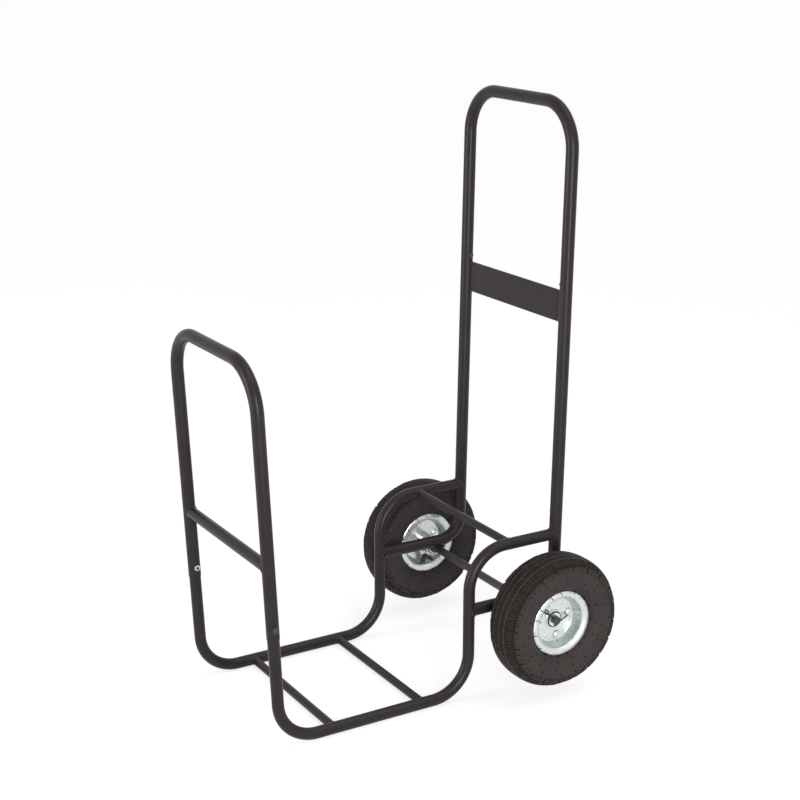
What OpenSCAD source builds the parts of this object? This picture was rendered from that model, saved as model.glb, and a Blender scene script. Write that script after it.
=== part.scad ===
// Firewood cart: a tubular steel frame that stands on two floor rails, with a hoop
// at the front, a tall push handle at the back and two pneumatic wheels on a fixed axle.
//
// Millimetres. X runs across the cart, Y from the front hoop (-Y) back to the handle (+Y),
// Z up from the floor. Left is +X, the left hand of a person who pushes the cart.
// The origin lies on the floor, under the middle of the whole cart.

/* [Tubes] */
// Outer diameter of the hoop, uprights and handle
main_tube_d = 24; // [22:0.5:28]
// Outer diameter of the side frames and the hoop's crossbar
frame_tube_d = 22; // [21.5:0.5:23]
// Wall of every tube
tube_wall = 1.2; // [1:0.1:2]
// Distance between the centre lines of the left and right tubes
frame_w = 335; // [300:5:420]
// Centre line radius of the bends in the side frames
rail_bend_r = 78; // [60:1:90]
// Centre line radius of the upper corners of the hoop and the handle
corner_r = 85; // [60:1:110]
// Centre line radius of the bend at the foot of an upright
foot_bend_r = 50; // [42:1:55]
// Radial gap of a tube end that slips into another tube
slip_gap = 0.1; // [0.05:0.05:0.2]
// Length of a reduced tube end inside the tube that slips over it
neck_len = 45; // [36:1:60]

/* [Front hoop] */
// Length of a hoop leg, from the rail's centre line to the top bar's centre line
hoop_leg = 702; // [600:1:800]
// Forward lean of the hoop, in degrees
hoop_lean = 2.7; // [0:0.1:6]
// Distance of the slip joint from the rail's centre line, along the leg
hoop_joint = 205; // [150:1:240]
// Distance of the crossbar's centre line from the rail's, along the leg
crossbar_at = 340; // [300:1:450]
// Height of the hoop bolts above the slip joint
hoop_bolt_up = 21; // [12:1:28]

/* [Side frames] */
// Distance from the front leg's foot to the centre line of the rear post
post_y = 401; // [360:1:410]
// Height of the centre line of the shelf tube
shelf_z = 294; // [280:1:330]
// Distance from the front leg's foot to the front floor bar
front_bar_y = 110; // [100:1:160]
// Distance from the front leg's foot to the rear floor bar
rear_bar_y = 300; // [250:1:310]
// Distance from the front leg's foot to the shelf bar
shelf_bar_y = 492; // [485:1:540]
// Diameter of the floor bars and the shelf bar
bar_d = 16; // [12:1:18]

/* [Uprights and handle] */
// Distance from the front leg's foot to an upright's line, at the rail's height
upright_y = 591.5; // [580:0.5:640]
// Backward lean of the uprights and the handle, in degrees
handle_lean = 1.1; // [0:0.1:3]
// Height of the centre line of the axle arms
arm_z = 176.6; // [170:0.1:190]
// Depth of the notch in an axle arm's end, round the rear post
arm_cope = 6; // [4:0.5:8]
// Length of an upright and the handle, from the rail's height to the top bar's centre line
handle_leg = 1099; // [950:1:1200]
// Upper edge of the back plate, along the upright
plate_top = 757; // [650:1:800]
// Height of the back plate
plate_h = 60; // [30:1:90]
// Thickness of the back plate
plate_t = 3; // [2:0.5:5]
// Height of the handle screws above the handle's slip joint
handle_screw_up = 12; // [10:1:28]

/* [Axle] */
// Diameter of the axle rod
axle_d = 16; // [12:0.5:16]
// Distance from the front leg's foot to the axle
axle_y = 543.5; // [530:0.5:544]
// Thickness of an axle washer
washer_t = 1.6; // [1:0.1:3]
// Outer diameter of an axle washer
washer_d = 27; // [24:0.5:30]
// Length of the stop ring beside each axle arm
stop_len = 4; // [3:0.5:8]
// Outer diameter of the stop ring
stop_d = 23; // [20:0.5:26]
// How far the axle reaches past the middle of a wheel
axle_past = 15.5; // [14:0.5:20]
// Diameter of a cotter pin
cotter_d = 3.2; // [2:0.1:4]
// How far a cotter pin stands out of the axle before its eye
cotter_neck = 18; // [5:0.5:19]
// Radius of the eye of a cotter pin
cotter_eye_r = 3.6; // [3:0.1:5]
// Length of a cotter pin's long leg past its bend
cotter_leg = 23; // [8:0.5:24]
// Length of a cotter pin's short leg past its bend
cotter_short_leg = 9; // [5:0.5:14]
// Lean of a cotter pin to the front, in degrees
cotter_lean = 46; // [0:1:90]
// Running gap beside a washer, along the axle
side_gap = 0.2; // [0.1:0.05:0.5]

/* [Wheels] */
// Distance from the middle of the cart to the middle of a wheel
wheel_x = 240; // [238:0.5:270]
// Outer radius of the tyre
tyre_r = 130; // [124:0.5:134]
// Width of the tyre
tyre_w = 85; // [78:0.5:90]
// Radius at which the tyre is widest
tyre_mid_r = 92; // [88:0.5:96]
// Thickness of the tyre at the tread
tread_t = 9; // [7:0.5:12]
// Thickness of the tyre's sidewall
sidewall_t = 4; // [3:0.5:6]
// Depth of the tread grooves
groove_h = 4; // [2:0.5:5]
// Tread blocks round each shoulder
blocks = 20; // [16:1:40]
// Wall of the inner tube
tube_rubber = 2; // [1:0.5:3]
// Gap between the inner tube and what holds it
tube_gap = 0.3; // [0.1:0.1:0.8]

/* [Rims] */
// Thickness of the rim's sheet steel
rim_t = 2; // [1.5:0.1:3]
// Radius of the rim's flange
rim_r = 64; // [62:0.5:65]
// Distance between the outer faces of the two flanges
rim_w = 59; // [54:0.5:62]
// Radius of the bead seat beside the flange
seat_r = 52; // [50:0.5:53]
// Radius of the well beside the disc
well_r = 46.5; // [44:0.5:48]
// Diameter of the circle of rim bolts
rim_bolt_pcd = 68; // [60:1:68]
// Number of rim bolts
rim_bolt_count = 4; // [3:1:5]
// Turn of the rim bolts about the axle, in degrees
rim_bolt_turn = 12; // [0:1:45]
// Diameter of the rim bolts
rim_bolt_d = 8; // [6:1:8]
// Diameter of the head of a rim bolt
rim_head_d = 14; // [12:0.5:15]

/* [Hubs and bearings] */
// Outer diameter of the hub tube
hub_d = 36; // [34.5:0.5:38]
// How far the hub stands out from the middle of the wheel, on the outer side
hub_out = 5; // [3:0.5:6]
// Outer diameter of a bearing
bearing_d = 32; // [31:0.5:33]
// Width of a bearing
bearing_w = 9; // [8:0.5:12]
// Diameter of a bearing ball
ball_d = 5; // [4:0.1:5.2]
// Number of balls in a bearing
ball_count = 9; // [6:1:10]
// Running gap between a ball and its groove
ball_gap = 0.05; // [0.02:0.01:0.1]
// Radial gap between the axle and what turns or slips on it
axle_gap = 0.05; // [0.02:0.01:0.1]

/* [Fasteners] */
// Diameter of the bolts in the frame
bolt_d = 6; // [5:0.5:6]
// Radial gap round a bolt in its hole
bolt_gap = 0.2; // [0.1:0.05:0.5]

/* [Valve] */
// Diameter of the valve's metal stem
valve_d = 7.7; // [7:0.1:8]
// Distance of the valve's stem from the axle
valve_at = 32; // [30:0.5:33]
// How far the valve reaches inboard from the middle of the wheel
valve_reach = 46; // [40:0.5:50]

/* [Hidden] */
$fn = 48;
LEFT = 1;
RIGHT = -1;

// A bend's section is this much wider all round than the straight tube's
bend_swell = 0.2;
// The straight lengths reach this far into the bends
bend_lap = 0.5;

// Heights and lines of the frame, in its own frame: Y from the front leg's foot
rail_z = frame_tube_d / 2 + bend_swell;
main_bore = main_tube_d - 2 * tube_wall;
frame_bore = frame_tube_d - 2 * tube_wall;
neck_d = main_bore - 2 * slip_gap;
neck_bore = neck_d - 2 * tube_wall;
shoulder_len = 4;
shoulder_inset = 0.5;
shoulder_lap = 0.6 * tube_wall;
front_turn = 90 - hoop_lean;
front_tangent = rail_bend_r * tan(front_turn / 2);
foot_turn = 90 - handle_lean;
foot_tangent = foot_bend_r * tan(foot_turn / 2);
// The arm's line meets the upright's line here
arm_end_y = upright_y + (arm_z - rail_z) * tan(handle_lean);
arm_up = (arm_z - rail_z) / cos(handle_lean);
shelf_end_y = upright_y + (shelf_z - rail_z) * tan(handle_lean);
handle_joint = plate_top;

// The axle lies against the underside of the arms
axle_z = arm_z - main_tube_d / 2 - axle_d / 2;
axle_half = wheel_x + axle_past;
arm_side_x = frame_w / 2 + main_tube_d / 2;
stop_x = arm_side_x + side_gap;
inner_washer_x = stop_x + stop_len + side_gap;
hub_in_x = inner_washer_x + washer_t + side_gap;
hub_in = hub_in_x - wheel_x;
hub_len = hub_out - hub_in;
outer_washer_at = hub_out + side_gap;
cotter_leg_turn = 70;
cotter_short_leg_turn = 102;
cotter_at = outer_washer_at + washer_t + side_gap + cotter_d / 2;

// The cart's reach to the front and back sets the origin
front_reach = hoop_leg * sin(hoop_lean) + main_tube_d / 2 + bend_swell;
rear_reach = axle_y + tyre_r;
origin_y = (rear_reach - front_reach) / 2;

// Wheel
half_w = tyre_w / 2;
flange_x = rim_w / 2;
bead_over = 0.7;
bead_r = rim_r + bead_over;
bead_gap = 0.2;
bead_lip = 1.2;
bead_chamfer = 1.9;
tread_n = 2.8;
wall_n = 2;
tread_b = tyre_r - tyre_mid_r;
bead_x = flange_x - rim_t - bead_gap;
// Half height of the sidewall's ellipse, which passes the flange at the bead
wall_b = (tyre_mid_r - bead_r) / sqrt(1 - pow((bead_x + bead_lip) / half_w, 2));
// The inside of the sidewall reaches this many degrees less far down
wall_short = 4;
arc_steps = 10;
groove_w = 3;
// Places of the tread grooves, as shares of the half width
groove_at = 0.34;
shoulder_at = 0.5;
tube_up_n = 2.4;
tube_down_n = 1.5;
// Rounded edges of a rim's section, and where its well slopes up to the bead seat
well_edge = 2;
seat_edge = 1.5;
hump_x = 14;
bearing_bore_r = axle_d / 2 + axle_gap;
bearing_r = bearing_d / 2;
ball_ring_r = (bearing_bore_r + bearing_r) / 2;
race_gap = ball_d * 0.3;
hub_bore_r = bearing_r + axle_gap;
rim_hole_r = hub_d / 2 + axle_gap;
rim_nut_t = 6.5;
rim_nut_across = rim_bolt_d * 13 / 8;
rim_head_t = 4;
bolt_hole_d = bolt_d + 2 * bolt_gap;
bolt_tail = 2;
head_d = bolt_d * 1.9;
head_t = 4;
nut_across = bolt_d * 5 / 3;
nut_t = 5;
thread_gap = 0.05;
screw_head_t = 2.5;
screw_len = 8;
hub_wall = 4;
valve_hole_x = 13;
valve_rubber_d = 10;
valve_bend_r = 8;
valve_mouth_d = valve_d * 0.45;
valve_mouth = 7;

// ---------- Placing ----------

// From the frame's own Y, which starts at the front leg's foot, to the cart's
module on_cart() { translate([0, -origin_y, 0]) children(); }

// A side frame's plane: the drawing's x runs back and its y runs up
module in_side_plane(side) { on_cart() translate([side * frame_w / 2, 0, 0]) rotate([90, 0, 90]) children(); }

// The hoop's plane: the drawing's x runs across and its y runs up along the legs
module in_hoop_plane() { on_cart() translate([0, 0, rail_z]) rotate([90 + hoop_lean, 0, 0]) children(); }

// The handle's plane, drawn as the hoop's
module in_handle_plane() {
    on_cart() translate([0, upright_y, rail_z]) rotate([90 - handle_lean, 0, 0]) children();
}

// A wheel's own frame: x points outboard along the axle, from the middle of the wheel
module on_wheel(side) {
    on_cart() translate([0, axle_y, axle_z]) mirror([side == LEFT ? 0 : 1, 0, 0])
        translate([wheel_x, 0, 0]) children();
}

// Things that stand in the same place on both halves of the cart
module both_sides() { for (side = [LEFT, RIGHT]) on_wheel(side) children(); }

// ---------- Shapes that repeat ----------

module ring(d, bore) {
    difference() {
        circle(d = d);
        circle(d = bore);
    }
}

// A straight rod in the drawing's plane, from a point and along a heading
module rod(from, heading, length, d) {
    translate([from[0], from[1], 0]) rotate([0, 0, heading]) rotate([0, 90, 0]) cylinder(d = d, h = length);
}

// A straight tube, drawn as the rod
module tube(from, heading, length, d, bore) {
    difference() {
        rod(from, heading, length, d);
        rod(run_end(from, heading, -1), heading, length + 2, bore);
    }
}

function run_end(from, heading, length) =
    [from[0] + length * cos(heading), from[1] + length * sin(heading)];
// A bend turns left for a positive turn and right for a negative one
function bend_centre(from, heading, turn, r) =
    run_end(from, heading + sign(turn) * 90, r);
function bend_end(from, heading, turn, r) =
    run_end(bend_centre(from, heading, turn, r), heading + turn - sign(turn) * 90, r);

// A bent rod: each step is a straight length and the turn that follows it. The bends are a
// hair wider, and the straight lengths reach into them. It starts before from by back, and
// ends late by over.
module bent_rod(from, heading, steps, r, d, back = 0, over = 0) {
    length = steps[0][0];
    turn = steps[0][1];
    ahead = turn == 0 ? over : bend_lap;
    rod(run_end(from, heading, -back), heading, back + length + ahead, d);
    if (turn != 0) {
        corner = run_end(from, heading, length);
        centre = bend_centre(corner, heading, turn, r);
        first = min(heading - sign(turn) * 90, heading + turn - sign(turn) * 90);
        translate([centre[0], centre[1], 0]) rotate([0, 0, first])
            rotate_extrude(angle = abs(turn)) translate([r, 0]) circle(d = d + 2 * bend_swell);
        rest = [for (i = [1:len(steps) - 1]) steps[i]];
        bent_rod(bend_end(corner, heading, turn, r), heading + turn, rest, r, d, bend_lap, over);
    }
}

module bent_tube(from, heading, steps, r, d, bore) {
    difference() {
        bent_rod(from, heading, steps, r, d);
        bent_rod(from, heading, steps, r, bore, 1, 1);
    }
}

// The end of a tube of diameter d that is reduced to slip into another tube
module neck(from, heading, d) {
    root = run_end(from, heading, -shoulder_len);
    tube(root, heading, shoulder_len + neck_len, neck_d, neck_bore);
    tube(
        run_end(root, heading, shoulder_inset), heading, shoulder_len - 2 * shoulder_inset,
        max(neck_d, d) - shoulder_lap, min(neck_bore, d - 2 * tube_wall) + shoulder_lap
    );
}

// A U of tube that is open downwards, in the drawing's plane
module u_tube(joint, leg) {
    up = leg - joint - corner_r;
    bent_tube(
        [-frame_w / 2, joint], 90,
        [[up, -90], [frame_w - 2 * corner_r, -90], [up, 0]],
        corner_r, main_tube_d, main_bore
    );
}

// Solid cylinders round the two legs of the hoop or the handle, to cope a bar's ends
module leg_solids(d, length) {
    for (side = [LEFT, RIGHT]) translate([side * frame_w / 2, 0, 0]) rotate([-90, 0, 0])
        cylinder(d = d, h = length);
}

// A tube across the cart between two parallel tubes of diameter d, in place of its centre
module cross_bar(bar, wall, d) {
    difference() {
        rotate([0, 90, 0]) linear_extrude(frame_w - d / 2, center = true) ring(bar, bar - 2 * wall);
        for (side = [LEFT, RIGHT]) translate([side * frame_w / 2, 0, 0]) rotate([90, 0, 0])
            cylinder(d = d, h = 2 * bar, center = true);
    }
}

// Bores for the hoop bolts, across both legs, in the hoop's plane
module hoop_bolt_bores() {
    translate([0, hoop_joint + hoop_bolt_up, 0]) rotate([0, 90, 0])
        cylinder(d = bolt_hole_d, h = frame_w + 2 * main_tube_d, center = true);
}

// A hexagonal prism along x, its near face at the origin
module hex_along_x(across, t) { rotate([0, 90, 0]) cylinder(d = across / cos(30), h = t, $fn = 6); }

// ---------- Frame ----------

module front_hoop() {
    color("dimgray") in_hoop_plane() difference() {
        u_tube(hoop_joint, hoop_leg);
        hoop_bolt_bores();
    }
}

module hoop_crossbar() {
    color("dimgray") in_hoop_plane() difference() {
        translate([0, crossbar_at, 0]) rotate([0, 90, 0])
            linear_extrude(frame_w - main_tube_d / 2, center = true) ring(frame_tube_d, frame_bore);
        leg_solids(main_tube_d, hoop_leg);
    }
}

// One bent tube: front stub, floor rail, rear post and shelf, coped to the upright
module side_frame(side) {
    stub = run_end([0, rail_z], 90 + hoop_lean, hoop_joint);
    color("dimgray") difference() {
        in_side_plane(side) {
            bent_tube(
                stub, hoop_lean - 90,
                [
                    [hoop_joint - front_tangent, front_turn],
                    [post_y - rail_bend_r - front_tangent, 90],
                    [shelf_z - rail_z - 2 * rail_bend_r, -90],
                    [shelf_end_y - post_y - rail_bend_r, 0]
                ],
                rail_bend_r, frame_tube_d, frame_bore
            );
            neck(stub, 90 + hoop_lean, frame_tube_d);
        }
        in_hoop_plane() hoop_bolt_bores();
        in_handle_plane() leg_solids(main_tube_d, handle_leg);
    }
}

// One bent tube: the arm over the axle and the upright up to the handle's joint
module rear_upright(side) {
    start = [post_y + frame_tube_d / 2 - arm_cope, arm_z];
    joint = run_end([upright_y, rail_z], 90 - handle_lean, handle_joint);
    color("dimgray") difference() {
        in_side_plane(side) {
            bent_tube(
                start, 0,
                [
                    [arm_end_y - start[0] - foot_tangent, foot_turn],
                    [handle_joint - arm_up - foot_tangent, 0]
                ],
                foot_bend_r, main_tube_d, main_bore
            );
            neck(joint, 90 - handle_lean, main_tube_d);
        }
        in_side_plane(side) rod([post_y, rail_z + rail_bend_r], 90, shelf_z, frame_tube_d);
        handle_screw_bores();
    }
}

// Places of the handle screws: on a leg's centre line, with z towards the leg's outer side
module handle_screw_places() {
    for (side = [LEFT, RIGHT]) in_handle_plane()
        translate([side * frame_w / 2, handle_joint + handle_screw_up, 0]) rotate([0, 90 * side, 0])
            children();
}

// Bores for the handle screws, into the inner side of each leg
module handle_screw_bores() {
    handle_screw_places() translate([0, 0, -main_tube_d]) cylinder(d = bolt_hole_d, h = main_tube_d);
}

module push_handle() {
    color("dimgray") difference() {
        in_handle_plane() u_tube(handle_joint, handle_leg);
        handle_screw_bores();
    }
}

module back_plate() {
    color("dimgray") in_handle_plane() difference() {
        translate([-frame_w / 2, plate_top - plate_h, -plate_t / 2]) cube([frame_w, plate_h, plate_t]);
        leg_solids(main_tube_d, handle_leg);
    }
}

module floor_bar(y) {
    color("dimgray") on_cart() translate([0, y, rail_z]) cross_bar(bar_d, tube_wall, frame_tube_d);
}

module shelf_bar() {
    color("dimgray") on_cart() translate([0, shelf_bar_y, shelf_z]) cross_bar(bar_d, tube_wall, frame_tube_d);
}

// ---------- Axle and its stops ----------

module axle() {
    color("gray") difference() {
        on_cart() translate([0, axle_y, axle_z]) rotate([0, 90, 0])
            cylinder(d = axle_d, h = 2 * axle_half, center = true);
        both_sides() translate([cotter_at, 0, 0]) cotter_place()
            cylinder(d = cotter_d + 2 * bolt_gap, h = 2 * axle_d, center = true);
    }
}

// The cotter pin's eye points up and to the front
module cotter_place() { rotate([cotter_lean, 0, 0]) children(); }

module disc_along_x(at, t, d, bore) {
    translate([at, 0, 0]) rotate([0, 90, 0]) linear_extrude(t) ring(d, bore);
}

module axle_stop_rings() {
    color("gray") both_sides() disc_along_x(stop_x - wheel_x, stop_len, stop_d, axle_d + 2 * axle_gap);
}

module axle_washers_inner() {
    color("silver") both_sides()
        disc_along_x(inner_washer_x - wheel_x, washer_t, washer_d, axle_d + 2 * axle_gap);
}

module axle_washers_outer() {
    color("silver") both_sides() disc_along_x(outer_washer_at, washer_t, washer_d, axle_d + 2 * axle_gap);
}

// A split pin: eye, shank and two legs that are bent apart round the axle
module cotter_pins() {
    wire = cotter_d * 0.7;
    shank = axle_d / 2 + cotter_neck;
    foot = axle_d / 2 + cotter_d / 2;
    color("silver") both_sides() translate([cotter_at, 0, 0]) cotter_place() {
        translate([0, 0, -foot]) cylinder(d = cotter_d, h = foot + shank);
        translate([0, 0, shank + cotter_eye_r]) rotate([0, 90, 0]) rotate_extrude()
            translate([cotter_eye_r, 0]) circle(d = wire);
        translate([0, 0, -foot]) rotate([180 + cotter_leg_turn, 0, 0]) cylinder(d = wire, h = cotter_leg);
        translate([0, 0, -foot]) rotate([180 - cotter_short_leg_turn, 0, 0])
            cylinder(d = wire, h = cotter_short_leg);
    }
}

// ---------- Wheels ----------

// A point of a superellipse quarter, at parameter t from 0 (widest) to 90 (top)
function rounded(t, a, b, n) = [a * pow(cos(t), 2 / n), b * pow(sin(t), 2 / n)];

// Outer or inner line of the tyre on one side, from the bead up to the middle of the tread
function tyre_line(a, b_up, b_down, low) = concat(
    [for (i = [0:arc_steps - 1])
        let (t = low * (1 - i / arc_steps), p = rounded(t, a, b_down, wall_n)) [tyre_mid_r - p[1], p[0]]],
    [for (i = [0:arc_steps])
        let (p = rounded(90 * i / arc_steps, a, b_up, tread_n)) [tyre_mid_r + p[1], p[0]]]
);
function reversed(line) = [for (i = [len(line) - 1:-1:0]) line[i]];
function flipped(line) = [for (p = line) [p[0], -p[1]]];

// Section of the tyre: radius along x, width along y
module tyre_section() {
    low_out = asin((tyre_mid_r - bead_r) / wall_b);
    toe = seat_r + bead_gap;
    outer = concat([[toe, bead_x - bead_chamfer], [toe + bead_chamfer, bead_x], [bead_r - bead_gap, bead_x]],
        tyre_line(half_w, tread_b, wall_b, low_out));
    inner = concat([[toe, bead_x - 2 * sidewall_t]],
        tyre_line(half_w - sidewall_t, tread_b - tread_t, wall_b, low_out - wall_short));
    polygon(concat(outer, flipped(reversed(outer)), flipped(inner), reversed(inner)));
}

module tyre(side) {
    color([0.22, 0.2, 0.2]) on_wheel(side) rotate([0, 90, 0]) difference() {
        rotate_extrude() tyre_section();
        for (x = [-1, 1]) translate([0, 0, x * half_w * groove_at]) rotate_extrude()
            translate([tyre_r - groove_h, -groove_w / 2]) square([2 * groove_h, groove_w]);
        for (i = [0:blocks - 1], x = [-1, 1]) rotate([0, 0, (i + (x > 0 ? 0.5 : 0)) * 360 / blocks])
            translate([tyre_r - 2 * groove_h, -groove_w / 2, x > 0 ? half_w * shoulder_at : -half_w])
                cube([3 * groove_h, groove_w, half_w * shoulder_at]);
    }
}

// Section of the inner tube at a given inset from the space that holds it
module tube_section(inset) {
    a = half_w - sidewall_t - tube_gap - inset;
    up = tread_b - tread_t - tube_gap - inset;
    down = tyre_mid_r - seat_r - 2 * bead_gap - tube_gap - inset;
    side = concat(
        [for (i = [0:arc_steps - 1])
            let (p = rounded(90 * (1 - i / arc_steps), a, down, tube_down_n)) [tyre_mid_r - p[1], p[0]]],
        [for (i = [0:arc_steps])
            let (p = rounded(90 * i / arc_steps, a, up, tube_up_n)) [tyre_mid_r + p[1], p[0]]]
    );
    polygon(concat(side, [for (i = [len(side) - 2:-1:1]) [side[i][0], -side[i][1]]]));
}

module inner_tube(side) {
    color([0.15, 0.15, 0.15]) on_wheel(side) rotate([0, 90, 0]) rotate_extrude() difference() {
        tube_section(0);
        tube_section(tube_rubber);
    }
}

// Section of half a rim: radius along x, distance from the wheel's middle along y
module rim_section() {
    tyre_face = [
        [rim_hole_r, 0],
        [well_r - well_edge, 0],
        [well_r - 0.3 * well_edge, 0.3 * well_edge],
        [well_r, well_edge],
        [seat_r, hump_x],
        [seat_r, flange_x - rim_t - seat_edge],
        [seat_r + seat_edge, flange_x - rim_t],
        [rim_r - rim_t / 2, flange_x - rim_t]
    ];
    well = well_r - rim_t;
    inner_edge = 1.5 * well_edge;
    seat = seat_r - rim_t;
    lip_edge = seat_edge + rim_t / 2;
    open_face = [
        [rim_hole_r, rim_t],
        [well - inner_edge, rim_t],
        [well - 0.3 * inner_edge, rim_t + 0.3 * inner_edge],
        [well, rim_t + inner_edge],
        [seat, hump_x + rim_t / 4],
        [seat, flange_x - lip_edge],
        [seat + lip_edge, flange_x],
        [rim_r - rim_t / 2, flange_x]
    ];
    polygon(concat(tyre_face, reversed(open_face)));
    translate([rim_r - rim_t / 2, flange_x - rim_t / 2]) circle(d = rim_t);
}

module rim_bolt_places() {
    for (i = [0:rim_bolt_count - 1]) rotate([rim_bolt_turn + i * 360 / rim_bolt_count, 0, 0])
        translate([0, rim_bolt_pcd / 2, 0]) children();
}

// The valve leaves the well on the inboard half, below the axle
module valve_bore() {
    translate([-valve_hole_x, 0, -well_r])
        cylinder(d = valve_rubber_d + 2 * bolt_gap, h = 2 * (well_r - valve_at), center = true);
}

module rim_half(side, outer) {
    color("lightgray") on_wheel(side) difference() {
        mirror([outer ? 0 : 1, 0, 0]) rotate([0, 90, 0]) rotate_extrude() rim_section();
        rim_bolt_places() rotate([0, 90, 0])
            cylinder(d = rim_bolt_d + 2 * bolt_gap, h = 6 * rim_t, center = true);
        if (!outer) valve_bore();
    }
}

module rim_bolts(side) {
    color("silver") on_wheel(side) rim_bolt_places() {
        translate([rim_t, 0, 0]) rotate([0, 90, 0]) cylinder(d = rim_head_d, h = rim_head_t);
        translate([-rim_t - rim_nut_t - bolt_tail, 0, 0]) rotate([0, 90, 0])
            cylinder(d = rim_bolt_d, h = 2 * rim_t + rim_nut_t + bolt_tail);
    }
}

module rim_nuts(side) {
    color("silver") on_wheel(side) rim_bolt_places() difference() {
        translate([-rim_t - rim_nut_t, 0, 0]) hex_along_x(rim_nut_across, rim_nut_t);
        rotate([0, 90, 0]) cylinder(d = rim_bolt_d + 2 * thread_gap, h = 6 * rim_nut_t, center = true);
    }
}

// Both bearings sit in a wider bore at the ends of the hub
module hub(side) {
    color("gray") on_wheel(side) difference() {
        disc_along_x(hub_in, hub_len, hub_d, hub_d - 2 * hub_wall);
        for (at = [hub_in - 1, hub_out - bearing_w]) disc_along_x(at, bearing_w + 1, 2 * hub_bore_r, 0);
    }
}

module bearing_places() {
    for (at = [hub_in, hub_out - bearing_w]) translate([at + bearing_w / 2, 0, 0]) children();
}

// A ball bearing's ring between two radii, with the groove of its balls
module bearing_ring(inner_r, outer_r) {
    rotate([0, 90, 0]) rotate_extrude() difference() {
        translate([inner_r, -bearing_w / 2]) square([outer_r - inner_r, bearing_w]);
        translate([ball_ring_r, 0]) circle(r = ball_d / 2 + ball_gap);
    }
}

module bearing_inner_rings() {
    color("silver") both_sides() bearing_places() bearing_ring(bearing_bore_r, ball_ring_r - race_gap);
}

module bearing_outer_rings(side) {
    color("silver") on_wheel(side) bearing_places() bearing_ring(ball_ring_r + race_gap, bearing_r);
}

module bearing_balls(side) {
    color("silver") on_wheel(side) bearing_places() for (i = [0:ball_count - 1])
        rotate([i * 360 / ball_count, 0, 0]) translate([0, 0, ball_ring_r]) sphere(d = ball_d);
}

// A bent valve: out of the well towards the axle, then along it, inboard
module valve_stem(side) {
    straight = valve_reach - valve_hole_x - valve_bend_r;
    color([0.2, 0.2, 0.2]) on_wheel(side) {
        translate([-valve_hole_x, 0, 1 - seat_r])
            cylinder(d = valve_rubber_d, h = seat_r - 1 - valve_at - valve_bend_r);
        translate([-valve_hole_x - valve_bend_r, 0, -valve_at - valve_bend_r]) rotate([90, 0, 0])
            rotate_extrude(angle = 90) translate([valve_bend_r, 0]) circle(d = valve_rubber_d);
        translate([-valve_reach, 0, -valve_at]) rotate([0, 90, 0]) difference() {
            cylinder(d = valve_d, h = straight);
            translate([0, 0, -1]) cylinder(d = valve_mouth_d, h = valve_mouth + 1);
        }
    }
}

// ---------- Fasteners ----------

module hoop_bolt_places() {
    for (side = [LEFT, RIGHT]) in_hoop_plane() mirror([side == LEFT ? 0 : 1, 0, 0])
        translate([frame_w / 2, hoop_joint + hoop_bolt_up, 0]) children();
}

module hoop_bolts() {
    reach = main_tube_d / 2;
    color("dimgray") hoop_bolt_places() {
        translate([reach, 0, 0]) rotate([0, 90, 0]) cylinder(d = head_d, h = head_t);
        translate([-reach - nut_t - bolt_tail, 0, 0]) rotate([0, 90, 0])
            cylinder(d = bolt_d, h = 2 * reach + nut_t + bolt_tail);
    }
}

module hoop_nuts() {
    color("silver") hoop_bolt_places() difference() {
        translate([-main_tube_d / 2 - nut_t, 0, 0]) hex_along_x(nut_across, nut_t);
        rotate([0, 90, 0]) cylinder(d = bolt_d + 2 * thread_gap, h = 4 * main_tube_d, center = true);
    }
}

module handle_screws() {
    reach = main_tube_d / 2;
    color("dimgray") handle_screw_places() translate([0, 0, -reach]) {
        translate([0, 0, -screw_head_t]) cylinder(d = head_d, h = screw_head_t);
        cylinder(d = bolt_d, h = screw_len);
    }
}

front_hoop();
hoop_crossbar();
side_frame(LEFT);  // side_frame_left
side_frame(RIGHT);  // side_frame_right
rear_upright(LEFT);  // rear_upright_left
rear_upright(RIGHT);  // rear_upright_right
back_plate();
push_handle();
floor_bar(front_bar_y);  // floor_bar_front
floor_bar(rear_bar_y);  // floor_bar_rear
shelf_bar();
axle();
axle_stop_rings();
axle_washers_inner();
axle_washers_outer();
cotter_pins();
bearing_inner_rings();
hoop_bolts();
hoop_nuts();
handle_screws();
tyre(LEFT);  // tyre_left
inner_tube(LEFT);  // inner_tube_left
rim_half(LEFT, true);  // rim_outer_left
rim_half(LEFT, false);  // rim_inner_left
hub(LEFT);  // hub_left
bearing_outer_rings(LEFT);  // bearing_outer_rings_left
bearing_balls(LEFT);  // bearing_balls_left
rim_bolts(LEFT);  // rim_bolts_left
rim_nuts(LEFT);  // rim_nuts_left
valve_stem(LEFT);  // valve_stem_left
tyre(RIGHT);  // tyre_right
inner_tube(RIGHT);  // inner_tube_right
rim_half(RIGHT, true);  // rim_outer_right
rim_half(RIGHT, false);  // rim_inner_right
hub(RIGHT);  // hub_right
bearing_outer_rings(RIGHT);  // bearing_outer_rings_right
bearing_balls(RIGHT);  // bearing_balls_right
rim_bolts(RIGHT);  // rim_bolts_right
rim_nuts(RIGHT);  // rim_nuts_right
valve_stem(RIGHT);  // valve_stem_right
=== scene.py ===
import math

import bmesh
import bpy
from mathutils import Matrix, Vector


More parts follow.
